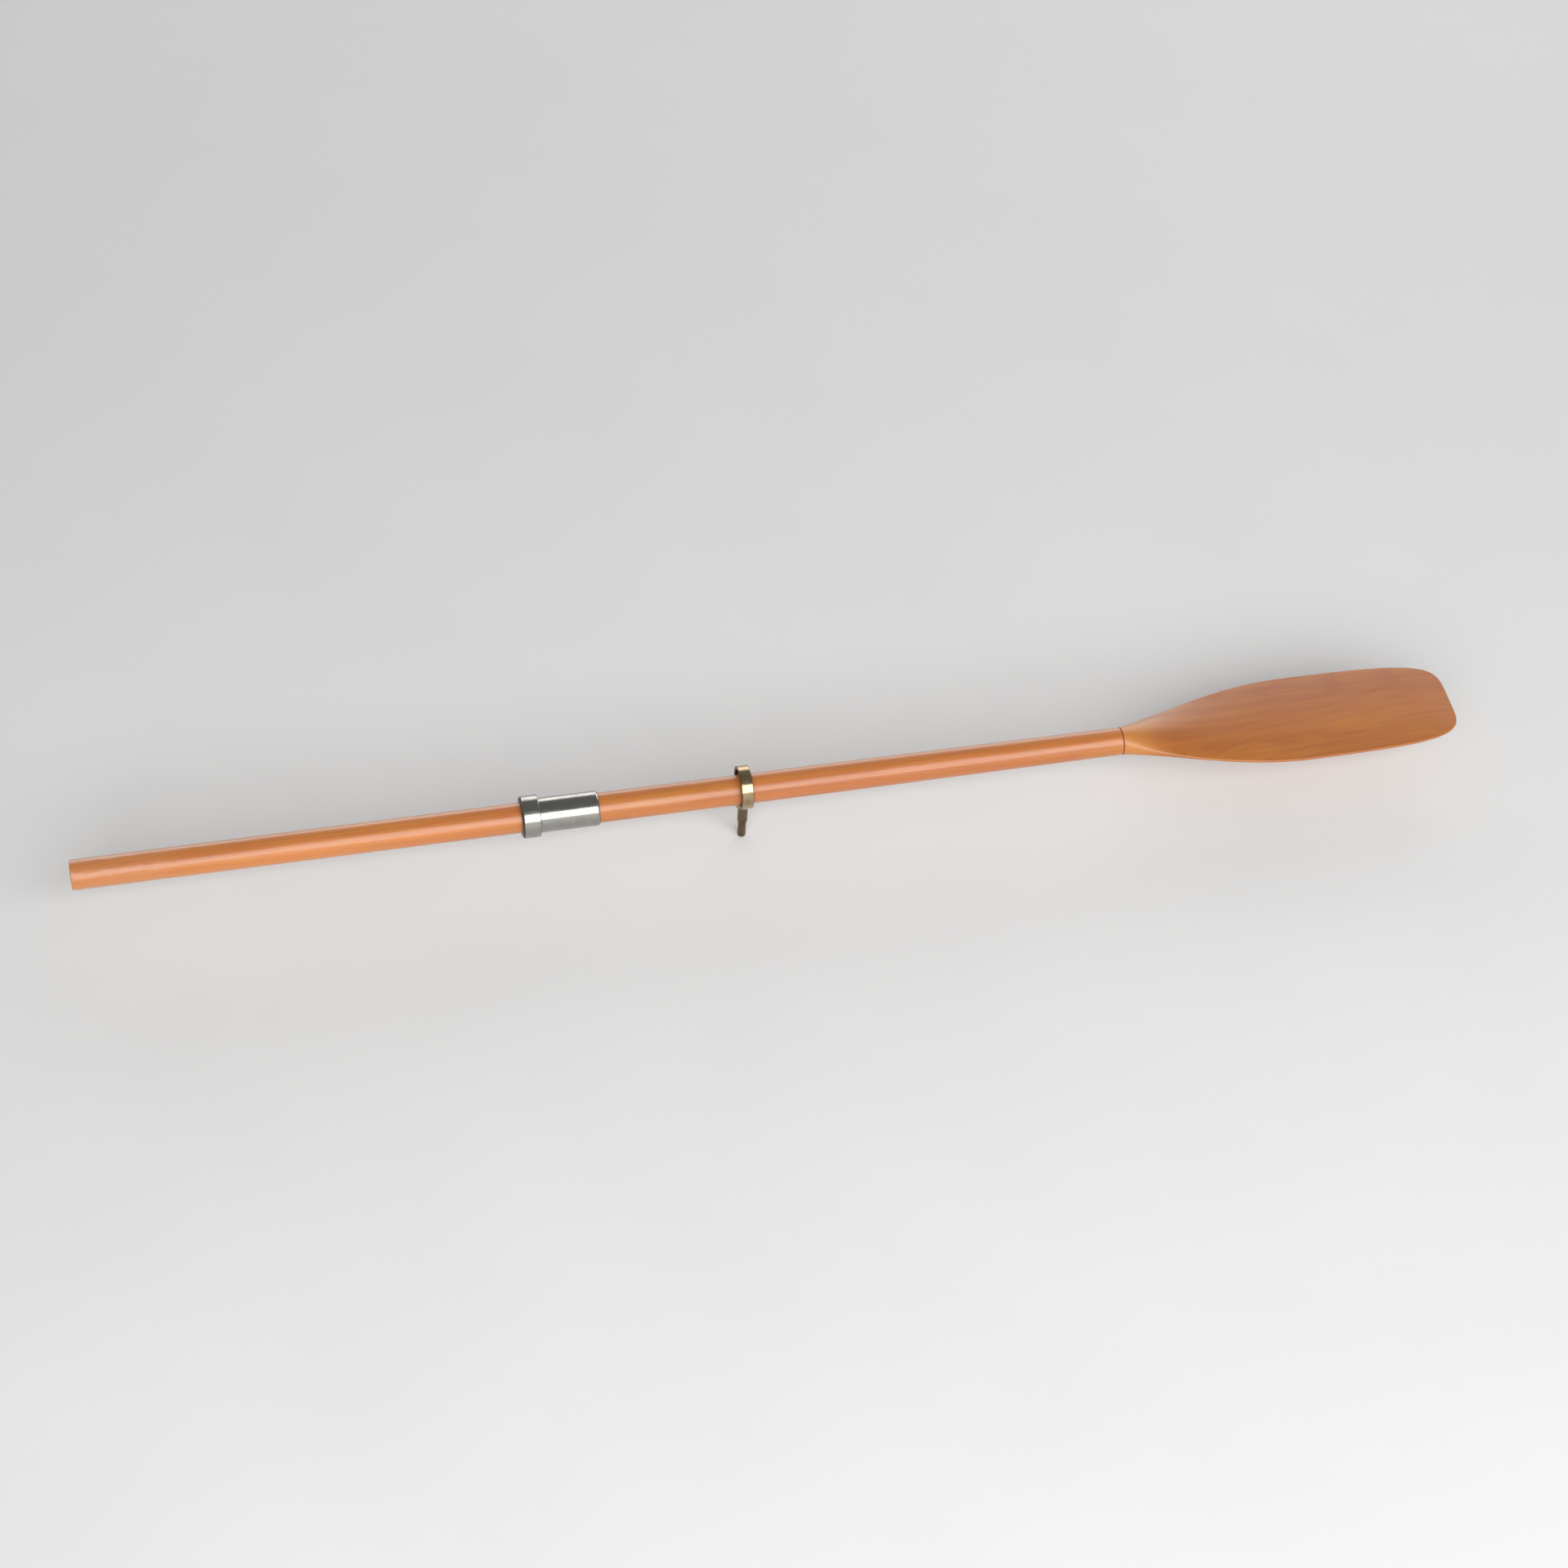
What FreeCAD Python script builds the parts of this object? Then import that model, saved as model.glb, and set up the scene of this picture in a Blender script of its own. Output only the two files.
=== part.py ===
"""Rowing oar with its closed ring oarlock.

Frame: origin on the shank axis at the shoulder that sits on the socket, +Z up,
loom along X with the blade towards +X.  Sizes are millimetres.
"""
import FreeCAD, Part
import Sketcher
import math
import os

os.makedirs("parts", exist_ok=True)

DOC = FreeCAD.newDocument("rowing_oar")

# Driving dimensions, all along the loom from the handle end where a station is meant.
SIZES = {
    "oar_length": 2134.0,
    "loom_dia": 46.0,
    "neck_dia": 43.0,
    "taper_start": 1150.0,
    "neck_station": 1597.5,
    "handle_edge": 1.5,
    "seam_edge": 0.5,
    "dowel_dia": 20.0,
    "dowel_depth": 70.0,
    "button_station": 664.0,
    "button_length": 27.0,
    "button_dia": 64.5,
    "button_edge": 1.2,
    "button_bevel": 3.0,
    "groove_width": 1.2,
    "groove_depth": 0.8,
    "sleeve_length": 117.0,
    "sleeve_dia": 53.0,
    "sleeve_bevel": 2.4,
    "screw_dia": 3.6,
    "screw_head_dia": 7.4,
    "screw_length": 20.0,
    "screw_slot": 1.0,
    "screw_pitch": 66.0,
    "set_screw_dia": 5.0,
    "set_screw_pitch": 12.0,
    "set_screw_key": 2.5,
    "ring_station": 1005.0,
    "ring_bore": 56.0,
    "ring_dia": 66.5,
    "ring_width": 18.0,
    "ring_edge": 1.2,
    "ring_height": 76.0,
    "boss_dia": 25.0,
    "boss_foot_dia": 17.5,
    "boss_height": 12.0,
    "stem_dia": 15.5,
    "spigot_dia": 9.0,
    "spigot_length": 10.0,
    "shank_dia": 12.7,
    "shank_length": 34.0,
    "shank_edge": 1.5,
    "rest_gap": 0.4,
    "blade_width": 170.0,
    "blade_flare": 285.0,
    "blade_edge": 4.8,
    "blade_spine": 19.0,
    "tip_spine": 9.0,
    "tip_length": 340.0,
    "tip_power": 5.0,
}

# Where the blade's cross-sections stand, from the neck seam.
BLADE_STATIONS = (0.0, 25.0, 60.0, 105.0, 160.0, 220.0, 300.0, 380.0,
                  440.0, 485.0, 512.0, 526.0, 533.0, 536.5)


def derive(size):
    """Add the values that follow from the driving dimensions."""
    size["loom_radius"] = size["loom_dia"] / 2
    size["handle_flat"] = size["loom_radius"] - size["handle_edge"]
    size["neck_radius"] = size["neck_dia"] / 2
    size["neck_flat"] = size["neck_radius"] - size["seam_edge"]
    size["neck_shoulder"] = size["neck_station"] - size["seam_edge"]
    size["dowel_radius"] = size["dowel_dia"] / 2
    size["dowel_start"] = size["neck_station"] - size["dowel_depth"]
    size["dowel_length"] = 2 * size["dowel_depth"]
    size["button_radius"] = size["button_dia"] / 2
    size["button_flat"] = size["button_radius"] - size["button_edge"]
    size["button_far_edge"] = size["button_length"] - size["button_edge"]
    size["button_lip"] = size["button_radius"] - size["button_bevel"]
    size["sleeve_radius"] = size["sleeve_dia"] / 2
    size["sleeve_bevel_start"] = size["sleeve_length"] - size["sleeve_bevel"]
    size["sleeve_lip"] = size["sleeve_radius"] - size["sleeve_bevel"] / 2
    size["groove_end"] = size["button_length"] + size["groove_width"]
    size["groove_radius"] = size["sleeve_radius"] - size["groove_depth"]
    size["sleeve_screw_start"] = size["button_length"] + 12.0
    size["set_screw_start"] = (size["button_length"] - size["set_screw_pitch"]) / 2
    size["ring_radius"] = size["ring_dia"] / 2
    size["bore_radius"] = size["ring_bore"] / 2
    size["boss_top"] = size["ring_height"] - size["bore_radius"] - 1.5
    size["boss_bottom"] = size["boss_top"] - size["boss_height"] - 2.0
    size["boss_low"] = size["boss_bottom"] + 3.5
    size["boss_radius"] = size["boss_dia"] / 2
    size["boss_turn_radius"] = size["boss_radius"] - 2.0
    size["boss_side"] = size["boss_low"] + 2.0
    size["boss_shoulder"] = size["boss_top"] - 2.0
    size["boss_foot_radius"] = size["boss_foot_dia"] / 2
    size["stem_radius"] = size["stem_dia"] / 2
    size["spigot_radius"] = size["spigot_dia"] / 2
    size["spigot_top"] = size["boss_bottom"] + size["spigot_length"]
    size["shank_radius"] = size["shank_dia"] / 2
    size["shank_tip_radius"] = size["shank_radius"] - size["shank_edge"]
    size["loom_height"] = (size["ring_height"] - size["bore_radius"]
                           + size["loom_radius"] + size["rest_gap"])
    size["blade_length"] = size["oar_length"] - size["neck_station"]
    size["screw_radius"] = size["screw_dia"] / 2
    size["screw_head_radius"] = size["screw_head_dia"] / 2
    size["countersink_mouth"] = size["sleeve_radius"] + 0.6
    size["countersink_reach"] = size["screw_head_radius"] + 0.9
    size["screw_cone"] = size["screw_head_radius"] - size["screw_radius"]
    size["screw_point_start"] = size["screw_length"] - 4.0
    size["screw_reach"] = size["screw_length"] - (size["sleeve_radius"] - size["loom_radius"])
    size["loom_screw_x"] = size["button_station"] + size["sleeve_screw_start"]
    size["set_screw_radius"] = size["set_screw_dia"] / 2
    size["set_screw_length"] = size["button_radius"] - size["sleeve_radius"] - 0.4
    size["stem_top"] = size["shank_length"] + size["boss_bottom"]
    size["shank_top"] = size["shank_length"] + size["spigot_top"]


def half_width(size, along):
    """Half of the blade's width at a distance from the neck seam."""
    neck = size["neck_radius"]
    flare = min(along / size["blade_flare"], 1.0) ** 1.07
    wide = neck + (size["blade_width"] / 2 - neck) * math.sin(flare * math.pi / 2)
    into_tip = max(along - (size["blade_length"] - size["tip_length"]), 0.0) / size["tip_length"]
    into_tip = min(into_tip, 0.9976)
    return wide * (1 - into_tip ** size["tip_power"]) ** (1 / size["tip_power"])


def blade_section(size, along):
    """Half width, half thickness and corner point of one blade cross-section."""
    neck = size["neck_radius"]
    wide = half_width(size, along)
    fade = (1 - min(along / 200.0, 1.0)) ** 2.2
    spine = size["blade_spine"] / 2
    spine += (size["tip_spine"] - size["blade_spine"]) / 2 * along / size["blade_length"]
    crown = spine + (neck - size["blade_spine"] / 2) * fade
    round_off = (1 - min(along / 150.0, 1.0)) ** 3
    edge = size["blade_edge"] / 2
    corner_up = edge + (neck * math.sqrt(0.5) - edge) * round_off
    inset = 2.0 + (neck * (1 - math.sqrt(0.5)) - 2.0) * round_off
    corner_out = wide - inset
    return corner_out, corner_up, crown, inset


def add_blade_sizes(size):
    """Four values and a station for each blade cross-section."""
    for number, along in enumerate(BLADE_STATIONS):
        out, up, crown, inset = blade_section(size, along)
        rise = crown - up
        size["station_%d_at" % number] = along
        size["station_%d_out" % number] = out
        size["station_%d_up" % number] = up
        size["station_%d_face" % number] = (out ** 2 + rise ** 2) / (2 * rise)
        size["station_%d_edge" % number] = (up ** 2 + inset ** 2) / (2 * inset)


def make_sheet(size):
    sheet = DOC.addObject("Spreadsheet::Sheet", "Sizes")
    for row, (name, value) in enumerate(size.items(), start=1):
        sheet.set("A%d" % row, name)
        sheet.set("B%d" % row, "%.6f" % value)
        sheet.setAlias("B%d" % row, name)
    DOC.recompute()


def new_body(label):
    body = DOC.addObject("PartDesign::Body", label)
    body.Label = label
    return body


def place(body, along="0", height="0"):
    """Bind where the sub-part stands in the assembly."""
    body.setExpression("Placement.Base.x", along)
    body.setExpression("Placement.Base.z", height)


def place_on_loom(body, station="0"):
    place(body, "%s - Sizes.ring_station" % station, "Sizes.loom_height")


def new_sketch(body, name, role, offset=None):
    sketch = body.newObject("Sketcher::SketchObject", name)
    plane = [item for item in body.Origin.OriginFeatures if item.Role == role][0]
    sketch.AttachmentSupport = (plane, [""])
    sketch.MapMode = "FlatFace"
    if offset is not None:
        sketch.setExpression("AttachmentOffset.Base.z", offset)
    return sketch


def pin_point(sketch, line, end, across, up):
    """Hold one end of a line at two named distances from the origin."""
    if across is None:
        sketch.addConstraint(Sketcher.Constraint("PointOnObject", line, end, -2))
    else:
        index = sketch.addConstraint(
            Sketcher.Constraint("DistanceX", -1, 1, line, end, SIZES[across]))
        sketch.setExpression("Constraints[%d]" % index, "Sizes." + across)
    if up is None:
        sketch.addConstraint(Sketcher.Constraint("PointOnObject", line, end, -1))
    else:
        index = sketch.addConstraint(
            Sketcher.Constraint("DistanceY", -1, 1, line, end, SIZES[up]))
        sketch.setExpression("Constraints[%d]" % index, "Sizes." + up)


def draw_profile(sketch, points):
    """Closed outline through corners given as pairs of size names, None for zero."""
    spots = [FreeCAD.Vector(SIZES[a] if a else 0, SIZES[b] if b else 0, 0) for a, b in points]
    count = len(spots)
    for number in range(count):
        sketch.addGeometry(Part.LineSegment(spots[number], spots[(number + 1) % count]), False)
    for number in range(count):
        sketch.addConstraint(
            Sketcher.Constraint("Coincident", number, 2, (number + 1) % count, 1))
    for number, (across, up) in enumerate(points):
        pin_point(sketch, number, 1, across, up)


def revolve(body, name, role, axis, points):
    sketch = new_sketch(body, name + "_profile", role)
    draw_profile(sketch, points)
    turned = body.newObject("PartDesign::Revolution", name)
    turned.Profile = sketch
    turned.ReferenceAxis = (sketch, [axis])
    turned.Angle = 360
    body.Tip = turned
    DOC.recompute()
    return turned


def draw_circle(sketch, radius, across=None, up=None):
    spot = FreeCAD.Vector(SIZES[across] if across else 0, SIZES[up] if up else 0, 0)
    circle = sketch.addGeometry(Part.Circle(spot, FreeCAD.Vector(0, 0, 1), SIZES[radius]), False)
    index = sketch.addConstraint(Sketcher.Constraint("Radius", circle, SIZES[radius]))
    sketch.setExpression("Constraints[%d]" % index, "Sizes." + radius)
    pin_point(sketch, circle, 3, across, up)


def pocket(body, name, sketch, depth=None):
    """Cut a sketch into the body on whichever side holds material."""
    before = body.Shape.Volume
    cut = body.newObject("PartDesign::Pocket", name)
    cut.Profile = sketch
    if depth is None:
        cut.Type = "ThroughAll"
        cut.Midplane = True
    else:
        cut.Type = "Length"
        cut.setExpression("Length", depth)
    body.Tip = cut
    DOC.recompute()
    if before - body.Shape.Volume < 1e-3:
        cut.Reversed = True
        DOC.recompute()
    return cut


def pattern_along(body, feature, name, axis_role, pitch):
    """Two of a feature, a pitch apart."""
    row = body.newObject("PartDesign::LinearPattern", name)
    row.Originals = [feature]
    axis = [item for item in body.Origin.OriginFeatures if item.Role == axis_role][0]
    row.Direction = (axis, [""])
    row.Mode = "Spacing"
    row.setExpression("Offset", pitch)
    row.Occurrences = 2
    body.Tip = row
    DOC.recompute()
    return row


def make_loom():
    """Round shaft, plain handle end, slight taper to the neck, socket for the dowel."""
    body = new_body("loom")
    revolve(body, "loom_shaft", "XZ_Plane", "H_Axis", (
        (None, None),
        (None, "handle_flat"),
        ("handle_edge", "loom_radius"),
        ("taper_start", "loom_radius"),
        ("neck_shoulder", "neck_radius"),
        ("neck_station", "neck_flat"),
        ("neck_station", None)))
    sketch = new_sketch(body, "loom_dowel_hole", "YZ_Plane", "Sizes.neck_station")
    draw_circle(sketch, "dowel_radius")
    pocket(body, "loom_dowel_socket", sketch, "Sizes.dowel_depth")
    drill_underside(body, "loom_pilot", "screw_radius", "loom_screw_x", "Sizes.screw_pitch",
                    "-Sizes.loom_radius - 1", "Sizes.screw_reach + 2")
    place_on_loom(body)
    return body


def drill_underside(body, name, radius, first, pitch, level, depth):
    """Two round holes, upward from below, a pitch apart along X."""
    sketch = new_sketch(body, name + "_sketch", "XY_Plane", level)
    draw_circle(sketch, radius, first)
    hole = pocket(body, name, sketch, depth)
    return pattern_along(body, hole, name + "s", "X_Axis", pitch)


def draw_section(sketch, number):
    """Crowned cross-section of four arcs, the same all ways round."""
    out = SIZES["station_%d_out" % number]
    up = SIZES["station_%d_up" % number]
    face = SIZES["station_%d_face" % number]
    edge = SIZES["station_%d_edge" % number]
    crown = up + face - math.sqrt(face ** 2 - out ** 2)
    wide = out + edge - math.sqrt(edge ** 2 - up ** 2)
    ends = ((out, -up), (out, up), (-out, up), (-out, -up))
    mids = ((wide, 0), (0, crown), (-wide, 0), (0, -crown))
    for side in range(4):
        start, middle, stop = ends[side], mids[side], ends[(side + 1) % 4]
        arc = Part.Arc(FreeCAD.Vector(*start, 0), FreeCAD.Vector(*middle, 0),
                       FreeCAD.Vector(*stop, 0))
        sketch.addGeometry(arc, False)
    for side in range(4):
        sketch.addConstraint(Sketcher.Constraint("Coincident", side, 2, (side + 1) % 4, 1))
    sketch.addConstraint(Sketcher.Constraint("Symmetric", 1, 1, 1, 2, -2))
    sketch.addConstraint(Sketcher.Constraint("Symmetric", 0, 1, 0, 2, -1))
    sketch.addConstraint(Sketcher.Constraint("Symmetric", 2, 1, 2, 2, -1))
    sketch.addConstraint(Sketcher.Constraint("Equal", 0, 2))
    sketch.addConstraint(Sketcher.Constraint("Equal", 1, 3))
    for kind, arc, name in (("face", 1, "face"), ("edge", 0, "edge")):
        value = SIZES["station_%d_%s" % (number, kind)]
        index = sketch.addConstraint(Sketcher.Constraint("Radius", arc, value))
        sketch.setExpression("Constraints[%d]" % index, "Sizes.station_%d_%s" % (number, name))
    pin_point(sketch, 0, 2, "station_%d_out" % number, "station_%d_up" % number)


def make_blade():
    """Flat crowned blade, round at the neck seam, wide and thin towards the tip."""
    body = new_body("blade")
    sketches = []
    for number in range(len(BLADE_STATIONS)):
        sketch = new_sketch(body, "blade_section_%d" % number, "YZ_Plane",
                            "Sizes.station_%d_at" % number)
        draw_section(sketch, number)
        sketches.append(sketch)
    DOC.recompute()
    loft = body.newObject("PartDesign::AdditiveLoft", "blade_loft")
    loft.Profile = sketches[0]
    loft.Sections = sketches[1:]
    loft.Ruled = False
    body.Tip = loft
    DOC.recompute()
    sketch = new_sketch(body, "blade_dowel_hole", "YZ_Plane")
    draw_circle(sketch, "dowel_radius")
    pocket(body, "blade_dowel_socket", sketch, "Sizes.dowel_depth")
    place_on_loom(body, "Sizes.neck_station")
    return body


def make_dowel():
    body = new_body("neck_dowel")
    revolve(body, "dowel_rod", "XZ_Plane", "H_Axis", (
        (None, None),
        (None, "dowel_radius"),
        ("dowel_length", "dowel_radius"),
        ("dowel_length", None)))
    place_on_loom(body, "Sizes.dowel_start")
    return body


def make_sleeve():
    """Steel tube with a turned groove beside the button and a bevelled outboard end."""
    body = new_body("sleeve")
    revolve(body, "sleeve_tube", "XZ_Plane", "H_Axis", (
        (None, "loom_radius"),
        (None, "sleeve_radius"),
        ("button_length", "sleeve_radius"),
        ("button_length", "groove_radius"),
        ("groove_end", "groove_radius"),
        ("groove_end", "sleeve_radius"),
        ("sleeve_bevel_start", "sleeve_radius"),
        ("sleeve_length", "sleeve_lip"),
        ("sleeve_length", "loom_radius")))
    drill_underside(body, "sleeve_screw_hole", "screw_radius", "sleeve_screw_start",
                    "Sizes.screw_pitch", "-Sizes.sleeve_radius - 1", "Sizes.loom_radius / 2")
    drill_cone(body)
    place_on_loom(body, "Sizes.button_station")
    return body


def drill_cone(body):
    """Countersinks for the two sleeve screws."""
    sketch = new_sketch(body, "sleeve_countersink_profile", "XZ_Plane")
    low = SIZES["countersink_mouth"]
    start = SIZES["sleeve_screw_start"]
    reach = SIZES["countersink_reach"]
    corners = ((start, -low), (start + reach, -low), (start, reach - low))
    spots = [FreeCAD.Vector(a, b, 0) for a, b in corners]
    for number in range(3):
        sketch.addGeometry(Part.LineSegment(spots[number], spots[(number + 1) % 3]), False)
    for number in range(3):
        sketch.addConstraint(Sketcher.Constraint("Coincident", number, 2, (number + 1) % 3, 1))
    sketch.addConstraint(Sketcher.Constraint("Vertical", 2))
    sketch.addConstraint(Sketcher.Constraint("Horizontal", 0))
    for points, kind, name in (
            ((-1, 1, 0, 1), "DistanceX", "sleeve_screw_start"),
            ((0, 1, -1, 1), "DistanceY", "countersink_mouth"),
            ((0, 1, 0, 2), "DistanceX", "countersink_reach"),
            ((0, 1, 2, 1), "DistanceY", "countersink_reach")):
        index = sketch.addConstraint(Sketcher.Constraint(kind, *points, SIZES[name]))
        sketch.setExpression("Constraints[%d]" % index, "Sizes." + name)
    cone = body.newObject("PartDesign::Groove", "sleeve_countersink")
    cone.Profile = sketch
    cone.ReferenceAxis = (sketch, ["Edge3"])
    cone.Angle = 360
    body.Tip = cone
    DOC.recompute()
    pattern_along(body, cone, "sleeve_countersinks", "X_Axis", "Sizes.screw_pitch")


def make_sleeve_screws():
    """Two countersunk wood screws, heads flush with the sleeve's underside."""
    body = new_body("sleeve_screws")
    screw = revolve(body, "screw_turned", "XZ_Plane", "V_Axis", (
        (None, None),
        ("screw_head_radius", None),
        ("screw_radius", "screw_cone"),
        ("screw_radius", "screw_point_start"),
        (None, "screw_length")))
    sketch = new_sketch(body, "screw_slot_sketch", "XY_Plane")
    half, reach = SIZES["screw_slot"] / 2, SIZES["screw_head_radius"] + 1
    corners = ((-half, -reach), (half, -reach), (half, reach), (-half, reach))
    spots = [FreeCAD.Vector(a, b, 0) for a, b in corners]
    for number in range(4):
        sketch.addGeometry(Part.LineSegment(spots[number], spots[(number + 1) % 4]), False)
    for number in range(4):
        sketch.addConstraint(Sketcher.Constraint("Coincident", number, 2, (number + 1) % 4, 1))
    for number, kind in ((0, "Horizontal"), (1, "Vertical"), (2, "Horizontal"), (3, "Vertical")):
        sketch.addConstraint(Sketcher.Constraint(kind, number))
    sketch.addConstraint(Sketcher.Constraint("Symmetric", 0, 1, 1, 2, -1, 1))
    index = sketch.addConstraint(Sketcher.Constraint("DistanceX", 0, 1, 0, 2, 2 * half))
    sketch.setExpression("Constraints[%d]" % index, "Sizes.screw_slot")
    index = sketch.addConstraint(Sketcher.Constraint("DistanceY", 1, 1, 1, 2, 2 * reach))
    sketch.setExpression("Constraints[%d]" % index, "Sizes.screw_head_dia + 2")
    slot = pocket(body, "screw_slot_cut", sketch, "Sizes.screw_slot")
    row = body.newObject("PartDesign::LinearPattern", "screw_pair")
    row.Originals = [screw, slot]
    axis = [item for item in body.Origin.OriginFeatures if item.Role == "X_Axis"][0]
    row.Direction = (axis, [""])
    row.Mode = "Spacing"
    row.setExpression("Offset", "Sizes.screw_pitch")
    row.Occurrences = 2
    body.Tip = row
    place(body, "Sizes.button_station + Sizes.sleeve_screw_start - Sizes.ring_station",
          "Sizes.loom_height - Sizes.sleeve_radius + 0.25")
    return body


def make_button():
    """Larger collar at the inboard end of the sleeve, bevelled towards the handle."""
    body = new_body("button_collar")
    revolve(body, "button_ring", "XZ_Plane", "H_Axis", (
        (None, "sleeve_radius"),
        (None, "button_lip"),
        ("button_bevel", "button_radius"),
        ("button_far_edge", "button_radius"),
        ("button_length", "button_flat"),
        ("button_length", "sleeve_radius")))
    drill_underside(body, "button_screw_hole", "set_screw_radius", "set_screw_start",
                    "Sizes.set_screw_pitch", "-Sizes.button_radius - 1",
                    "Sizes.loom_radius / 2")
    place_on_loom(body, "Sizes.button_station")
    return body


def make_set_screws():
    """Two hollow set screws in the underside of the button."""
    body = new_body("button_set_screws")
    screw = revolve(body, "set_screw_turned", "XZ_Plane", "V_Axis", (
        (None, None),
        ("set_screw_radius", None),
        ("set_screw_radius", "set_screw_length"),
        (None, "set_screw_length")))
    sketch = new_sketch(body, "set_screw_key_sketch", "XY_Plane")
    draw_hexagon(sketch)
    key = pocket(body, "set_screw_key_cut", sketch, "Sizes.set_screw_key")
    row = body.newObject("PartDesign::LinearPattern", "set_screw_pair")
    row.Originals = [screw, key]
    axis = [item for item in body.Origin.OriginFeatures if item.Role == "X_Axis"][0]
    row.Direction = (axis, [""])
    row.Mode = "Spacing"
    row.setExpression("Offset", "Sizes.set_screw_pitch")
    row.Occurrences = 2
    body.Tip = row
    place(body, "Sizes.button_station + Sizes.set_screw_start - Sizes.ring_station",
          "Sizes.loom_height - Sizes.sleeve_radius - Sizes.set_screw_length")
    return body


def draw_hexagon(sketch):
    """Hexagon centred on the origin, one named width across its flats."""
    corner = SIZES["set_screw_key"] / math.sqrt(3)
    spots = [FreeCAD.Vector(corner * math.cos(math.radians(60 * number)),
                            corner * math.sin(math.radians(60 * number)), 0)
             for number in range(6)]
    for number in range(6):
        sketch.addGeometry(Part.LineSegment(spots[number], spots[(number + 1) % 6]), False)
    ring = sketch.addGeometry(
        Part.Circle(FreeCAD.Vector(0, 0, 0), FreeCAD.Vector(0, 0, 1), corner), True)
    sketch.addConstraint(Sketcher.Constraint("Coincident", ring, 3, -1, 1))
    for number in range(6):
        sketch.addConstraint(Sketcher.Constraint("Coincident", number, 2, (number + 1) % 6, 1))
        sketch.addConstraint(Sketcher.Constraint("PointOnObject", number, 1, ring))
    for number in range(1, 6):
        sketch.addConstraint(Sketcher.Constraint("Equal", 0, number))
    sketch.addConstraint(Sketcher.Constraint("PointOnObject", 0, 1, -1))
    index = sketch.addConstraint(Sketcher.Constraint("Radius", ring, corner))
    sketch.setExpression("Constraints[%d]" % index, "Sizes.set_screw_key / sqrt(3)")


def make_ring():
    """Closed flat band with a rounded boss under it, bored for the shank's spigot."""
    body = new_body("oarlock_ring")
    sketch = new_sketch(body, "ring_disc_sketch", "YZ_Plane")
    draw_circle(sketch, "ring_radius", None, "ring_height")
    disc = body.newObject("PartDesign::Pad", "ring_disc")
    disc.Profile = sketch
    disc.Midplane = True
    disc.setExpression("Length", "Sizes.ring_width")
    body.Tip = disc
    DOC.recompute()
    round_circles(body, "ring_outer_round", "ring_radius")
    revolve(body, "ring_boss", "XZ_Plane", "V_Axis", (
        (None, "boss_bottom"),
        ("boss_foot_radius", "boss_bottom"),
        ("boss_turn_radius", "boss_low"),
        ("boss_radius", "boss_side"),
        ("boss_radius", "boss_shoulder"),
        ("boss_turn_radius", "boss_top"),
        (None, "boss_top")))
    sketch = new_sketch(body, "ring_bore_sketch", "YZ_Plane")
    draw_circle(sketch, "bore_radius", None, "ring_height")
    pocket(body, "ring_bore_cut", sketch)
    round_circles(body, "ring_bore_round", "bore_radius")
    sketch = new_sketch(body, "ring_spigot_sketch", "XY_Plane", "Sizes.boss_bottom")
    draw_circle(sketch, "spigot_radius")
    pocket(body, "ring_spigot_hole", sketch, "Sizes.spigot_length")
    return body


def round_circles(body, name, radius):
    """Round every full circle of one radius that runs about the loom."""
    base = body.Tip
    names = []
    for number, edge in enumerate(base.Shape.Edges, start=1):
        if not hasattr(edge.Curve, "Radius") or abs(edge.Curve.Axis.x) < 0.9:
            continue
        if abs(edge.Curve.Radius - SIZES[radius]) < 0.01:
            names.append("Edge%d" % number)
    soft = body.newObject("PartDesign::Fillet", name)
    soft.Base = (base, names)
    soft.setExpression("Radius", "Sizes.ring_edge")
    body.Tip = soft
    DOC.recompute()


def make_shank():
    """Stem and shank, its spigot pressed up into the ring's boss."""
    body = new_body("oarlock_shank")
    revolve(body, "shank_turned", "XZ_Plane", "V_Axis", (
        (None, None),
        ("shank_tip_radius", None),
        ("shank_radius", "shank_edge"),
        ("shank_radius", "shank_length"),
        ("stem_radius", "shank_length"),
        ("stem_radius", "stem_top"),
        ("spigot_radius", "stem_top"),
        ("spigot_radius", "shank_top"),
        (None, "shank_top")))
    place(body, "0", "-Sizes.shank_length")
    return body


def write_parts(bodies):
    """Stop on any failed object, then write one file for each sub-part."""
    DOC.recompute()
    for item in DOC.Objects:
        if "Invalid" in item.State or "Error" in item.State:
            raise RuntimeError("%s failed: %s" % (item.Name, item.State))
    for body in bodies:
        shape = body.Shape
        if shape.isNull() or not shape.isValid():
            raise RuntimeError("bad shape in " + body.Label)
        shape.exportStep("parts/%s.step" % body.Label)
        box = shape.BoundBox
        print("%-18s solids %d volume %9.0f  x %8.1f %8.1f  y %6.1f %6.1f  z %6.1f %6.1f" % (
            body.Label, len(shape.Solids), shape.Volume,
            box.XMin, box.XMax, box.YMin, box.YMax, box.ZMin, box.ZMax))


derive(SIZES)
add_blade_sizes(SIZES)
make_sheet(SIZES)
write_parts([
    make_loom(),
    make_blade(),
    make_dowel(),
    make_sleeve(),
    make_sleeve_screws(),
    make_button(),
    make_set_screws(),
    make_ring(),
    make_shank(),
])
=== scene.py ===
"""Rowing oar with its closed ring oarlock: finished meshes, materials, lights and camera."""
import math

import bmesh
import bpy
import numpy as np
from mathutils import Matrix, Vector


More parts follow.
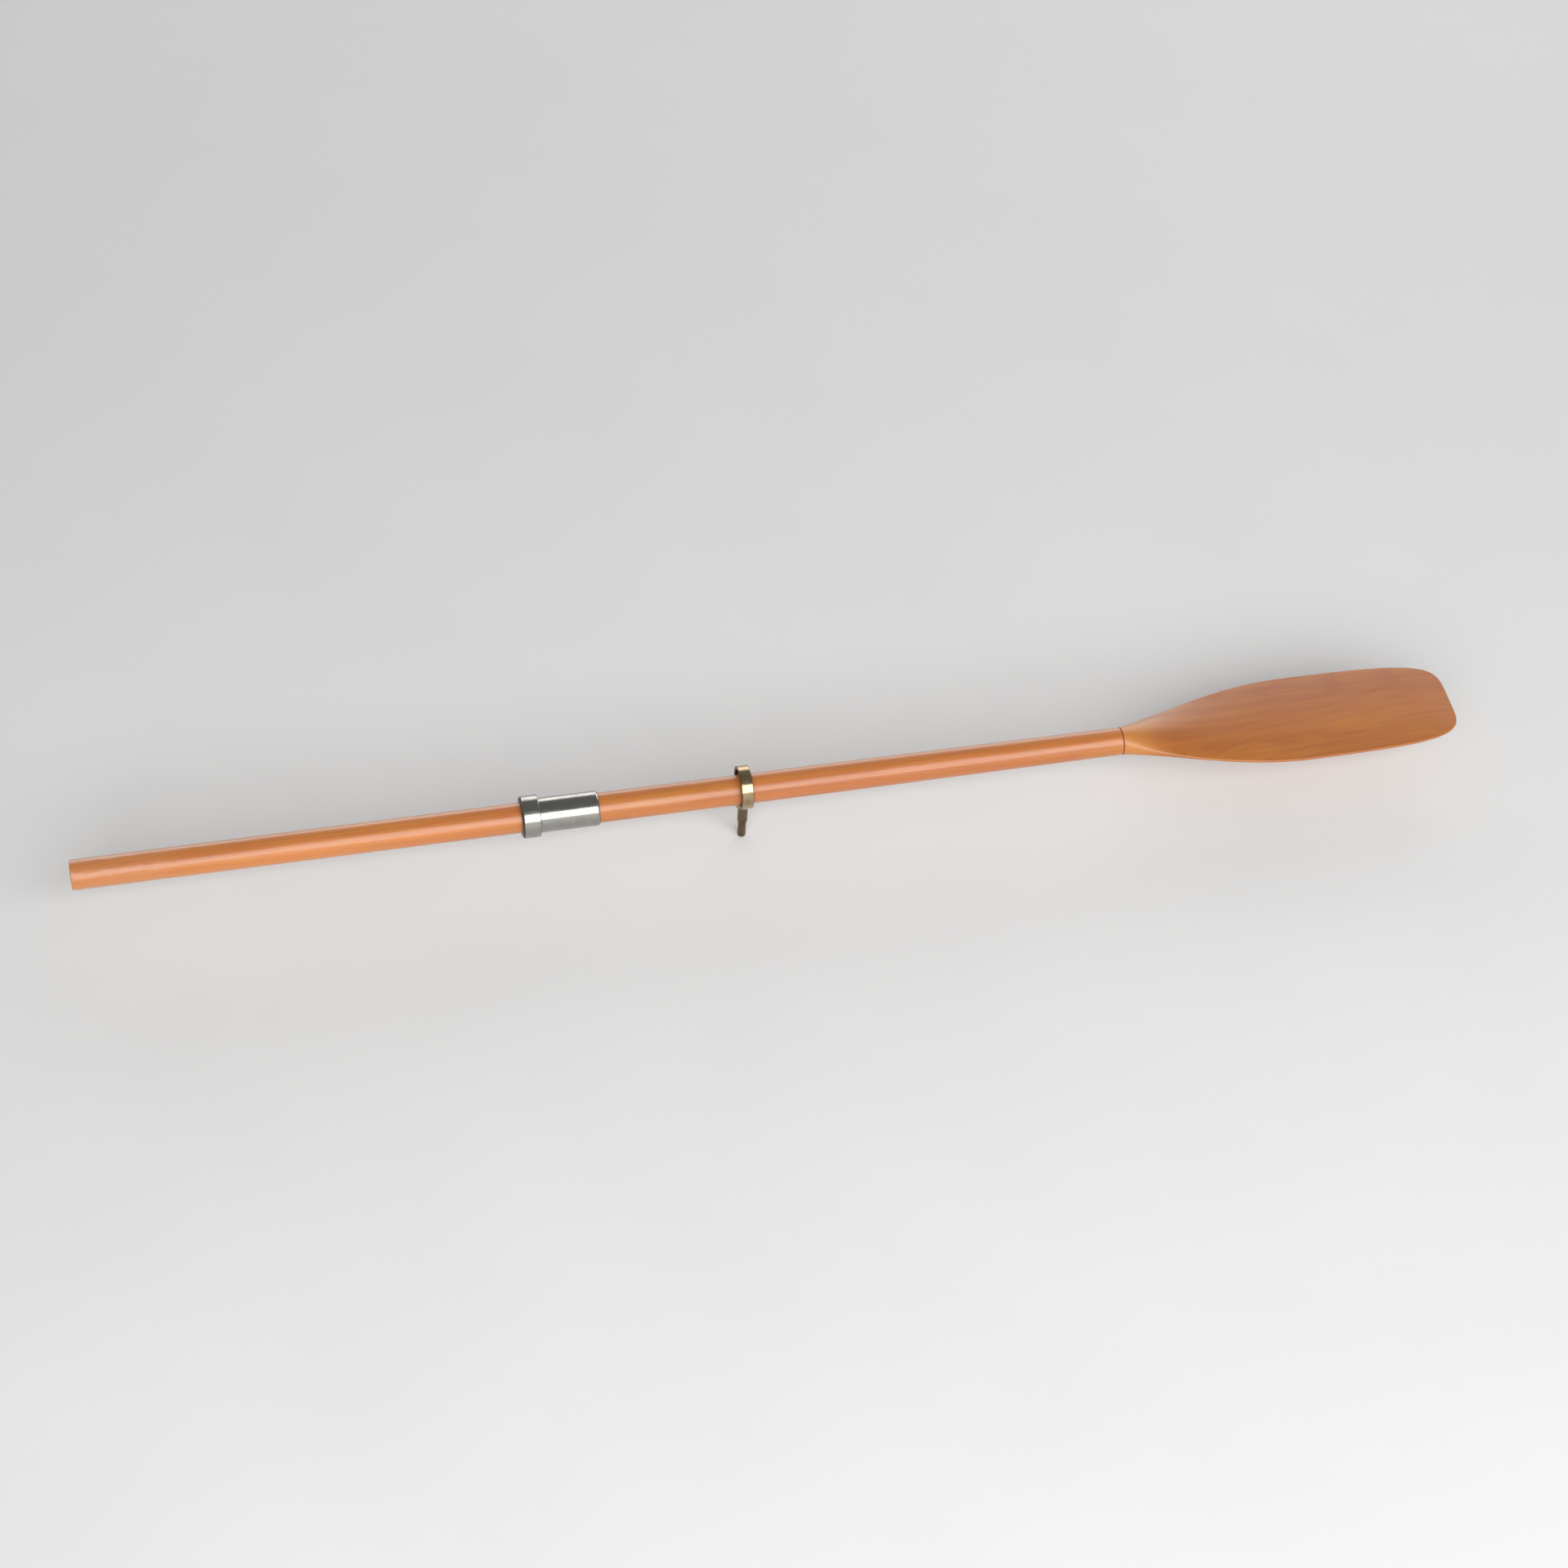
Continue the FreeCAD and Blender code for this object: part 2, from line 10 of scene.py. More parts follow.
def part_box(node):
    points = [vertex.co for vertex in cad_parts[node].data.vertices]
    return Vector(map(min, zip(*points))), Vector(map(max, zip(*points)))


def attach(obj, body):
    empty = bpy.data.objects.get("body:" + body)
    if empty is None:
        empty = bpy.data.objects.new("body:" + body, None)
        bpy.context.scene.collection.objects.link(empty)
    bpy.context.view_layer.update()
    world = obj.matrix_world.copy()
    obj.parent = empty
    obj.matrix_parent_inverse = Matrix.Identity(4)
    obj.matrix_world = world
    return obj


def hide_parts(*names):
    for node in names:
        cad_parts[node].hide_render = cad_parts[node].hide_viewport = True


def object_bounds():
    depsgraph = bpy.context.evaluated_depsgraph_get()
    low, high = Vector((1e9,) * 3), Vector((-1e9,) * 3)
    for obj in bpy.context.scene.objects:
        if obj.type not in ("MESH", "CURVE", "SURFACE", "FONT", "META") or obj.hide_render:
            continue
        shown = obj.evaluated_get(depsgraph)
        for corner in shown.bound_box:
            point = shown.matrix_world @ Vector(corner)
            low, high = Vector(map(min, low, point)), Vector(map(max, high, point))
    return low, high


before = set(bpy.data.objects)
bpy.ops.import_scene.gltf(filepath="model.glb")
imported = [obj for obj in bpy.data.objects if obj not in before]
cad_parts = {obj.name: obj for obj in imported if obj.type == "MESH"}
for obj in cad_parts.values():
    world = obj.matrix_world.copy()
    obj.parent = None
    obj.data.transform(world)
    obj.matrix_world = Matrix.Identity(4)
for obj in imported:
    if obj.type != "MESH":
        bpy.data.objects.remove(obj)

MM = 0.001
CAD_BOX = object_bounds()

# Sizes that no bounding box gives, as the CAD model has them.
NECK_RADIUS = 21.5 * MM
TAPER_START = 1150 * MM
SLEEVE_BEVEL = 2.4 * MM
GROOVE_WIDTH, GROOVE_DEPTH = 1.2 * MM, 0.8 * MM
METAL_EDGE = 1.2 * MM
COLLAR_BEVEL = 3.0 * MM
RING_BORE, RING_OUTER, RING_HALF = 28 * MM, 33.25 * MM, 9 * MM
BOSS_RADIUS = 12.5 * MM
BOSS_FOOT = 8.75 * MM
STEM_RADIUS = 7.75 * MM
SHANK_RADIUS = 6.35 * MM
BLADE_FLARE = 285 * MM
TIP_LENGTH = 340 * MM
TIP_POWER = 5.0
EDGE_UP, EDGE_IN = 2.4 * MM, 2.0 * MM
SPINE, TIP_SPINE = 9.5 * MM, 4.5 * MM

# Finer detail of the finished surfaces.
GRIP_LENGTH = 180 * MM            # dented and worn, from the handle's end
HANDLE_EDGE = 1.8 * MM
LOOM_CHAMFER = 1.1 * MM           # at the neck seam
BLADE_CHAMFER, BLADE_CAP, CAP_INSET = 1.0 * MM, 0.5 * MM, 0.45 * MM
GLUE_HALF, GLUE_INSET, GLUE_BORE = 1.0 * MM, 0.12 * MM, 11 * MM
LEAN_START = 200 * MM             # where the rows across the blade begin to bend
TIP_FALL = 55 * MM                # length over which the crown runs out at the tip
RIM_STEPS = 10
SLEEVE_GAP = 0.02 * MM
SCREW_REACH = 4.6 * MM            # radius of a countersink's mouth
SET_SCREW_HOLE = 2.5 * MM
COLLAR_LIP = 3.4 * MM
CASTING_EDGE, CASTING_FILLET = 0.9 * MM, 2.2 * MM
BOSS_SHOULDER = 4.0 * MM
VOXEL = 0.62 * MM
# Height above the boss's foot where the painted shade on the ring's sides begins.
SHADED_SIDES_ABOVE = 14.5 * MM      # above the boss's foot
WOOD_SEGMENTS, STEEL_SEGMENTS, STEM_SEGMENTS, TOOL_SEGMENTS = 112, 160, 96, 48

low = {name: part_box(name)[0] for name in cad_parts}
high = {name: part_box(name)[1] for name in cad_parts}
AXIS = (low["loom"].z + high["loom"].z) / 2
LOOM_RADIUS = (high["loom"].z - low["loom"].z) / 2
HANDLE, NECK, TIP = low["loom"].x, low["blade"].x, high["blade"].x
FLOOR = CAD_BOX[0].z
RING_CENTRE = high["oarlock_ring"].z - RING_OUTER
BOSS_BOTTOM = low["oarlock_ring"].z
BOSS_HEAD = RING_CENTRE - RING_BORE - 1.5 * MM


# ---------------------------------------------------------------- mesh helpers

def smooth_step(t):
    """0 to 1 as t goes from 0 to 1, level at both ends."""
    t = max(0.0, min(1.0, t))
    return t * t * (3 - 2 * t)


def vertex_array(mesh):
    """The mesh's vertex positions, one row each."""
    flat = np.zeros(len(mesh.vertices) * 3)
    mesh.vertices.foreach_get("co", flat)
    return flat.reshape(-1, 3)


def move_vertices(mesh, places):
    """Puts the vertices at the given rows of positions."""
    mesh.vertices.foreach_set("co", places.ravel())
    mesh.update()


def applied(obj):
    """A mesh with the object's modifiers applied; the modifiers are then removed."""
    bpy.context.view_layer.update()
    seen = obj.evaluated_get(bpy.context.evaluated_depsgraph_get())
    mesh = bpy.data.meshes.new_from_object(seen)
    obj.modifiers.clear()
    return mesh


def make_object(name, points, faces, body, angle=35):
    """A closed smooth mesh that rides on a body; edges sharper than angle stay crisp."""
    mesh = bpy.data.meshes.new(name)
    mesh.from_pydata([tuple(map(float, p)) for p in points], [], faces)
    mesh.validate()
    mesh.shade_smooth()
    mesh.set_sharp_from_angle(angle=math.radians(angle))
    obj = bpy.data.objects.new(name, mesh)
    bpy.context.scene.collection.objects.link(obj)
    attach(obj, body)
    return obj


def rounded(corners, steps=5):
    """A profile through (along, radius, rounding) corners, with each rounding turned into
    a small arc that has a support point either side."""
    out = []
    count = len(corners)
    for i, (a, r, round_off) in enumerate(corners):
        here = np.array((a, r), float)
        if round_off <= 0:
            out.append(here)
            continue
        before = np.array(corners[(i - 1) % count][:2], float) - here
        after = np.array(corners[(i + 1) % count][:2], float) - here
        u, v = before / np.linalg.norm(before), after / np.linalg.norm(after)
        half = math.acos(max(-1, min(1, float(u @ v)))) / 2
        reach = round_off / math.tan(half)
        start, stop = here + u * reach, here + v * reach
        centre = here + (u + v) / np.linalg.norm(u + v) * round_off / math.sin(half)
        out.append(start + u * reach * 0.3)
        for k in range(steps + 1):
            t = k / steps
            p = start * (1 - t) + stop * t - centre
            out.append(centre + p / np.linalg.norm(p) * round_off)
        out.append(stop + v * reach * 0.3)
    return out


def lathe(name, profile, body, segments, upright=False, closed=True):
    """Turns (along, radius) points about the loom's axis, or about Z if upright.
    A closed profile makes a tube; an open one ends on the axis."""
    profile = [tuple(p) for p in profile]
    turn = np.linspace(0, 2 * math.pi, segments, endpoint=False)
    points, rows = [], []
    for along, radius in profile:
        if radius < 1e-7:
            rows.append([len(points)])
            points.append((0, 0, along) if upright else (along, 0, AXIS))
            continue
        rows.append(list(range(len(points), len(points) + segments)))
        for t in turn:
            a, b = radius * math.cos(t), radius * math.sin(t)
            points.append((a, b, along) if upright else (along, a, AXIS + b))
    pairs = list(zip(rows, rows[1:] + rows[:1])) if closed else list(zip(rows, rows[1:]))
    faces = []
    for one, two in pairs:
        for i in range(segments):
            j = (i + 1) % segments
            quad = [one[i % len(one)], one[j % len(one)], two[j % len(two)], two[i % len(two)]]
            face = list(dict.fromkeys(quad))
            if len(face) > 2:
                faces.append(face if upright else face[::-1])
    return make_object(name, points, outward(points, faces), body)


def outward(points, faces):
    """The same faces, all turned so that the closed mesh has a positive volume."""
    p = np.array(points, float)
    p = p - p.mean(0)
    volume = sum(float(np.dot(p[f[0]], np.cross(p[f[k]], p[f[k + 1]])))
                 for f in faces for k in range(1, len(f) - 1))
    return faces if volume > 0 else [f[::-1] for f in faces]


# ---------------------------------------------------------------- the wooden parts

def waver(along, turn, seed):
    """A smooth value between 0 and 1 that wanders like a hand-finished surface."""
    total = 0
    for k in range(1, 6):
        total = total + math.sin(seed * k) * np.sin(along * (19 + 14.3 * k) + (k % 3) * turn + seed * k * k)
    return 0.5 + 0.5 * np.tanh(total)


def dents(along, turn):
    """A value between 0 and 1 for shallow dents about 20 mm apart."""
    return 0.5 + 0.25 * (np.sin(350 * along + 1.3 * np.sin(2 * turn)) + np.sin(290 * along + 3 * turn + 2.0))


def make_loom():
    """Round shaft with a softly rounded handle end, a slight taper, a hand-finished surface
    and a grip with shallow dents."""
    length, edge, seam = NECK - HANDLE, HANDLE_EDGE, LOOM_CHAMFER
    stations = [(0, 0.0), (0, LOOM_RADIUS * 0.3), (0, LOOM_RADIUS * 0.6), (0, LOOM_RADIUS * 0.8),
                (0, LOOM_RADIUS - edge - 0.8 * MM)]
    for k in range(7):
        t = math.pi / 2 * k / 6
        stations.append((edge * (1 - math.cos(t)), LOOM_RADIUS - edge * (1 - math.sin(t))))
    grip, rest = np.linspace(6 * MM, GRIP_LENGTH, 100), np.linspace(GRIP_LENGTH, length - 4 * MM, 375)
    for along in [*grip[:-1], *rest]:
        taper = max(along - TAPER_START, 0) / (length - TAPER_START)
        stations.append((along, LOOM_RADIUS + (NECK_RADIUS - LOOM_RADIUS) * taper))
    stations += [(length - 1.8 * MM, NECK_RADIUS), (length - seam, NECK_RADIUS),
                 (length - seam / 2, NECK_RADIUS - 0.4 * MM), (length - seam / 2, NECK_RADIUS - 1.2 * MM),
                 (length - seam / 2, 0.0)]
    loom = lathe("loom_varnished", [(HANDLE + a, r) for a, r in stations], "oar", WOOD_SEGMENTS,
                 closed=False)
    places = vertex_array(loom.data)
    along, across, up = places[:, 0], places[:, 1], places[:, 2] - AXIS
    turn = np.arctan2(up, across)
    inside = np.clip((along - HANDLE) / (30 * MM), 0, 1) * np.clip((NECK - along) / (25 * MM), 0, 1)
    worn = inside * np.clip((HANDLE + GRIP_LENGTH - along) / (GRIP_LENGTH / 2), 0, 1)
    shrink = 1 - 0.004 * inside * waver(along, turn, 1.7) - 0.008 * worn * dents(along - HANDLE, turn)
    move_vertices(loom.data, np.stack([along, across * shrink, AXIS + up * shrink], axis=1))
    return loom


def half_width(along):
    """The blade's half width before the tip rounds off, from the neck seam."""
    flare = min(along / BLADE_FLARE, 1.0) ** 1.07
    widest = high["blade"].y
    return NECK_RADIUS + (widest - NECK_RADIUS) * math.sin(flare * math.pi / 2)


def edge_shape(along):
    """Height and inset of the line where the blade's face meets its rounded edge."""
    fade = (1 - min(along / (150 * MM), 1.0)) ** 3
    return (EDGE_UP + (NECK_RADIUS * math.sqrt(0.5) - EDGE_UP) * fade,
            EDGE_IN + (NECK_RADIUS * (1 - math.sqrt(0.5)) - EDGE_IN) * fade)


def crown_height(along, length):
    """Half the blade's thickness along its middle line."""
    fade = (1 - min(along / (200 * MM), 1.0)) ** 2.2
    return SPINE + (TIP_SPINE - SPINE) * along / length + (NECK_RADIUS - SPINE) * fade


def outline_point(along, angle, length):
    """A point of the blade's outline: the flare before the tip, then the flare times
    a squarish curve that closes at the tip."""
    if angle is None:
        return along, half_width(along)
    power = 2 / TIP_POWER
    along = length - TIP_LENGTH + TIP_LENGTH * math.sin(angle) ** power
    return along, half_width(along) * math.cos(angle) ** power


def with_normals(curve):
    """Adds the outward direction in plan, which is straight sideways at the neck."""
    out = []
    for k, (along, wide) in enumerate(curve):
        before, after = curve[max(k - 1, 0)], curve[min(k + 1, len(curve) - 1)]
        step = np.array((after[0] - before[0], after[1] - before[1]))
        normal = np.array((-step[1], step[0])) / np.linalg.norm(step)
        share = smooth_step((along - 100 * MM) / (150 * MM))
        normal = normal * share + np.array((0.0, 1.0)) * (1 - share)
        out.append((along, wide, tuple(normal / np.linalg.norm(normal))))
    return out


def blade_outline(length):
    """One side of the blade from the neck to the tip corner, then half the end curve
    on to the middle: (along, out, outward direction) for both."""
    tip_start, corner = length - TIP_LENGTH, math.pi / 4
    places = list(np.linspace(0, 12 * MM, 8)[:-1]) + list(np.linspace(12 * MM, tip_start, 90))
    curve = [outline_point(along, None, length) for along in places]
    curve += [outline_point(0, corner * (k / 110) ** 2.2, length) for k in range(1, 111)]
    first = len(curve)
    curve += [outline_point(0, 2 * corner - corner * (1 - k / 48) ** 2.2, length) for k in range(1, 48)]
    curve.append((length, 0.0))
    full = with_normals(curve + [(a, -w) for a, w in reversed(curve[-4:-1])])[:len(curve)]
    return full[:first], full[first - 1:]


def inset_point(entry):
    """Where the blade's face starts, in from a point of the outline."""
    along, out, normal = entry
    up, inset = edge_shape(along)
    return along - normal[0] * inset, out - normal[1] * inset, up


def face_grid(inner_side, inner_end, length):
    """Rows of points across the crowned upper face, from the neck to the tip. Towards the
    tip they bend until the last one follows the end curve."""
    reach_in, corner_x = inner_end[0][1], inner_end[0][0]
    shares = [-e[1] / reach_in for e in inner_end] + [e[1] / reach_in for e in inner_end[-2::-1]]
    end_x = [e[0] for e in inner_end] + [e[0] for e in inner_end[-2::-1]]
    rows = []
    for along, out, up in inner_side:
        lean = smooth_step((along - LEAN_START) / (corner_x - LEAN_START))
        row = []
        for share, last_x in zip(shares, end_x):
            x, y = along + lean * (last_x - corner_x), share * out
            near_tip = max(0.0, 1 - (last_x - x) / TIP_FALL)
            rise = max((crown_height(x, length) - up) * (1 - near_tip ** 2), 1e-6)
            radius = (out ** 2 + rise ** 2) / (2 * rise)
            z = up - (radius - rise) + math.sqrt(max(radius ** 2 - y ** 2, 0))
            row.append((NECK + x, y, AXIS + z))
        rows.append(row)
    rows[-1] = [(x, y, AXIS + inner_side[-1][2]) for x, y, _ in rows[-1]]
    return rows


def add_rim(points, faces, top, below, side, end):
    """The rounded edge, as strands that run from the upper face to the lower one. They go
    from the neck down one side, round the tip and back up the other."""
    last = top[-1]
    loop = [(e, -1, row[0]) for e, row in zip(side, top)]
    loop += [(e, -1, n) for e, n in zip(end[1:], last[1:])]
    loop += [(e, 1, last[-1 - k]) for k, e in reversed(list(enumerate(end))[:-1])]
    loop += [(e, 1, row[-1]) for e, row in reversed(list(zip(side, top))[:-1])]
    rim = []
    for (along, out, normal), sign, upper in loop:
        up, inset = edge_shape(along)
        radius = (up ** 2 + inset ** 2) / (2 * inset)
        most = math.asin(min(up / radius, 1.0))
        strand = [upper]
        for k in range(1, RIM_STEPS):
            angle = most * (1 - 2 * k / RIM_STEPS)
            back = radius - radius * math.cos(angle)
            strand.append(len(points))
            points.append((NECK + along - normal[0] * back,
                           sign * (out - normal[1] * back), AXIS + radius * math.sin(angle)))
        strand.append(upper + below)
        rim.append(strand)
    for one, two in zip(rim, rim[1:]):
        for k in range(RIM_STEPS):
            faces.append([one[k], one[k + 1], two[k + 1], two[k]])
    return rim


def close_neck(points, faces, ring):
    """The flat neck end, with a small chamfer at the seam."""
    small, inner = 1 - CAP_INSET / NECK_RADIUS, []
    for n in ring:
        x, y, z = points[n]
        points[n] = (x + BLADE_CHAMFER, y, z)
        inner.append(len(points))
        points.append((NECK + BLADE_CAP, y * small, AXIS + (z - AXIS) * small))
    centre = len(points)
    points.append((NECK + BLADE_CAP, 0, AXIS))
    following = list(range(1, len(ring))) + [0]
    faces.extend([ring[k], ring[m], inner[m], inner[k]] for k, m in enumerate(following))
    faces.extend([inner[k], inner[m], centre] for k, m in enumerate(following))


def make_blade():
    """Crowned blade: one grid for each face and a rounded rim between them."""
    length = TIP - NECK
    side, end = blade_outline(length)
    rows = face_grid([inset_point(e) for e in side], [inset_point(e) for e in end], length)
    points = [point for row in rows for point in row]
    columns, below = len(rows[0]), len(points)
    top = [list(range(i * columns, (i + 1) * columns)) for i in range(len(rows))]
    points += [(x, y, 2 * AXIS - z) for x, y, z in points]
    faces = []
    for one, two in zip(top, top[1:]):
        for quad in zip(one, two, two[1:], one[1:]):
            faces.append(list(quad))
            faces.append([n + below for n in reversed(quad)])
    rim = add_rim(points, faces, top, below, side, end)
    ring = list(top[0]) + rim[-1][1:-1] + [n + below for n in reversed(top[0])] + rim[0][-2:0:-1]
    close_neck(points, faces, ring)
    blade = make_object("blade_varnished", points, faces, "oar", 60)
    consistent(blade)
    return blade


def consistent(obj):
    """Joins doubled points and turns every face outward."""
    work = bmesh.new()
    work.from_mesh(obj.data)
    bmesh.ops.remove_doubles(work, verts=work.verts, dist=1e-6)
    bmesh.ops.recalc_face_normals(work, faces=work.faces)
    work.to_mesh(obj.data)
    work.free()
    obj.data.shade_smooth()


def make_glue_line():
    """A thin ring of glue that fills the neck seam to just below the wood's surface."""
    start, stop, outer = NECK - GLUE_HALF, NECK + GLUE_HALF, NECK_RADIUS - GLUE_INSET
    return lathe("neck_glue_line", rounded([
        (start, GLUE_BORE, 0), (start, outer, 0.1 * MM), (stop, outer, 0.1 * MM), (stop, GLUE_BORE, 0)]),
        "oar", WOOD_SEGMENTS)


# ---------------------------------------------------------------- the metal parts

def cut_from(obj, cutters):
    """Cuts small turned tools out of a metal part and applies the cuts."""
    for tool in cutters:
        cut = obj.modifiers.new("cut", "BOOLEAN")
        cut.operation, cut.solver, cut.object = "DIFFERENCE", "EXACT", tool
        obj.data = applied(obj)
        bpy.data.objects.remove(tool)
    obj.data.shade_smooth()
    obj.data.set_sharp_from_angle(angle=math.radians(35))


def drill(x, profile):
    """A small upright turned tool at a station on the underside."""
    tool = lathe("tool", profile, "oar", TOOL_SEGMENTS, upright=True, closed=False)
    tool.data.transform(Matrix.Translation((x, 0, AXIS)))
    return tool


def weighted(obj):
    """Keeps wide turned faces flat-looking beside their fine rounded edges."""
    modifier = obj.modifiers.new("weighted", "WEIGHTED_NORMAL")
    modifier.keep_sharp, modifier.weight = True, 60


def make_sleeve():
    """Bright tube with a groove beside the collar, a bevelled end and two countersinks."""
    start, stop = low["sleeve"].x, high["sleeve"].x
    outer = (high["sleeve"].z - low["sleeve"].z) / 2
    collar_end = high["button_collar"].x
    inner = LOOM_RADIUS + SLEEVE_GAP
    sleeve = lathe("steel_sleeve", rounded([
        (start + 0.05 * MM, inner, 0),
        (start + 0.05 * MM, outer - SLEEVE_GAP, 0),
        (collar_end, outer - SLEEVE_GAP, 0),
        (collar_end, outer - GROOVE_DEPTH, 0.15 * MM),
        (collar_end + GROOVE_WIDTH, outer - GROOVE_DEPTH, 0.15 * MM),
        (collar_end + GROOVE_WIDTH, outer, 0.25 * MM),
        (stop - SLEEVE_BEVEL, outer, 0.7 * MM),
        (stop, outer - SLEEVE_BEVEL / 2, 0.35 * MM),
        (stop, inner, 0)]), "oar", STEEL_SEGMENTS)
    mouth = outer + 0.6 * MM
    cut_from(sleeve, [drill(x, [(-mouth, 0), (-mouth, SCREW_REACH), (SCREW_REACH - mouth, 0)])
                      for x in (start + 39 * MM, start + 105 * MM)])
    weighted(sleeve)
    return sleeve


def make_collar():
    """Thicker ring at the sleeve's inboard end, bevelled towards the handle, with two holes."""
    start, stop = low["button_collar"].x, high["button_collar"].x
    outer = (high["button_collar"].z - low["button_collar"].z) / 2
    inner = (high["sleeve"].z - low["sleeve"].z) / 2
    lip, lip_end = inner - COLLAR_LIP, start + 1 * MM
    collar = lathe("steel_collar", rounded([
        (start, lip, 0), (start, outer - COLLAR_BEVEL, 1.0 * MM), (start + COLLAR_BEVEL, outer, 1.0 * MM),
        (stop, outer, METAL_EDGE), (stop, inner, 0), (lip_end, inner, 0), (lip_end, lip, 0)]),
        "oar", STEEL_SEGMENTS)
    mouth, bottom, wide = outer + 2 * MM, inner - 0.3 * MM, SET_SCREW_HOLE
    cut_from(collar, [drill(x, [(-mouth, 0), (-mouth, wide), (-bottom, wide), (-bottom, 0)])
                      for x in (start + 7.5 * MM, start + 19.5 * MM)])
    weighted(collar)
    return collar


def polygon_distance(a, b, corners):
    """Signed distance in a plane from points (a, b) to a closed outline, negative inside."""
    best = np.full(len(a), 1e9)
    inside = np.zeros(len(a), bool)
    for (x0, y0), (x1, y1) in zip(corners, corners[1:] + corners[:1]):
        dx, dy = x1 - x0, y1 - y0
        t = np.clip(((a - x0) * dx + (b - y0) * dy) / (dx * dx + dy * dy), 0, 1)
        best = np.minimum(best, np.hypot(a - x0 - t * dx, b - y0 - t * dy))
        crosses = ((y0 > b) != (y1 > b)) & (a < (x1 - x0) * (b - y0) / ((y1 - y0) or 1e-12) + x0)
        inside ^= crosses
    return np.where(inside, -best, best)


def casting_distance(p):
    """Signed distance to the ring and boss cast in one: a round-edged band, a turned boss
    whose outline is drawn smaller and grown again to round its corners, and a fillet."""
    ring = np.hypot(p[:, 1], p[:, 2] - RING_CENTRE)
    middle, thick = (RING_OUTER + RING_BORE) / 2, (RING_OUTER - RING_BORE) / 2
    a = np.abs(ring - middle) - thick + METAL_EDGE
    b = np.abs(p[:, 0]) - RING_HALF + METAL_EDGE
    band = np.hypot(np.maximum(a, 0), np.maximum(b, 0)) + np.minimum(np.maximum(a, b), 0) - METAL_EDGE
    foot, head, wide = BOSS_BOTTOM + CASTING_EDGE, BOSS_HEAD - CASTING_EDGE, BOSS_RADIUS - CASTING_EDGE
    outline = [(-1.0, foot), (BOSS_FOOT - CASTING_EDGE, foot), (wide, foot + 4.0 * MM),
               (wide, BOSS_HEAD - BOSS_SHOULDER), (BOSS_RADIUS - BOSS_SHOULDER, head), (-1.0, head)]
    boss = polygon_distance(np.hypot(p[:, 0], p[:, 1]), p[:, 2], outline) - CASTING_EDGE
    mix = np.clip(0.5 + 0.5 * (boss - band) / CASTING_FILLET, 0, 1)
    both = boss * (1 - mix) + band * mix - CASTING_FILLET * mix * (1 - mix)
    return np.maximum(both, RING_BORE - ring)


def make_casting():
    """The oarlock's ring and boss, remeshed as one and laid onto the exact rounded shape."""
    half, outer, foot = RING_HALF, RING_OUTER, BOSS_BOTTOM
    band = lathe("oarlock_casting", [(-half, RING_BORE), (-half, outer), (half, outer), (half, RING_BORE)],
                 "oarlock", STEEL_SEGMENTS)
    band.data.transform(Matrix.Translation((0, 0, RING_CENTRE - AXIS)))
    boss_outline = [(foot, 0), (foot, BOSS_FOOT), (foot + 5 * MM, BOSS_RADIUS),
                    (BOSS_HEAD, BOSS_RADIUS), (BOSS_HEAD, 0)]
    boss = lathe("tool", boss_outline, "oarlock", STEM_SEGMENTS, upright=True, closed=False)
    join = band.modifiers.new("join", "BOOLEAN")
    join.operation, join.solver, join.object = "UNION", "EXACT", boss
    grain = band.modifiers.new("grain", "REMESH")
    grain.mode, grain.voxel_size, grain.adaptivity = "VOXEL", VOXEL, 0
    band.data = applied(band)
    bpy.data.objects.remove(boss)
    places, step, most = vertex_array(band.data), 0.02 * MM, 0.4 * MM
    for _ in range(12):
        ahead = [casting_distance(places + step * axis) for axis in np.eye(3)]
        behind = [casting_distance(places - step * axis) for axis in np.eye(3)]
        slope = np.stack([(a - b) / (2 * step) for a, b in zip(ahead, behind)], axis=1)
        size = np.maximum((slope ** 2).sum(1), 0.2)
        places = places - np.clip(casting_distance(places) / size, -most, most)[:, None] * slope
    move_vertices(band.data, places)
    band.data.shade_smooth()
    return band


def make_stem():
    """Stem under the boss, the shoulder that sits on the socket, and the shank below it."""
    return lathe("oarlock_stem", rounded([
        (FLOOR, 0, 0), (FLOOR, SHANK_RADIUS, 1.5 * MM), (0, SHANK_RADIUS, 0),
        (0, STEM_RADIUS, 0.6 * MM), (BOSS_BOTTOM, STEM_RADIUS, 0), (BOSS_BOTTOM, 0, 0)], 4),
        "oarlock", STEM_SEGMENTS, upright=True, closed=False)


# ---------------------------------------------------------------- materials

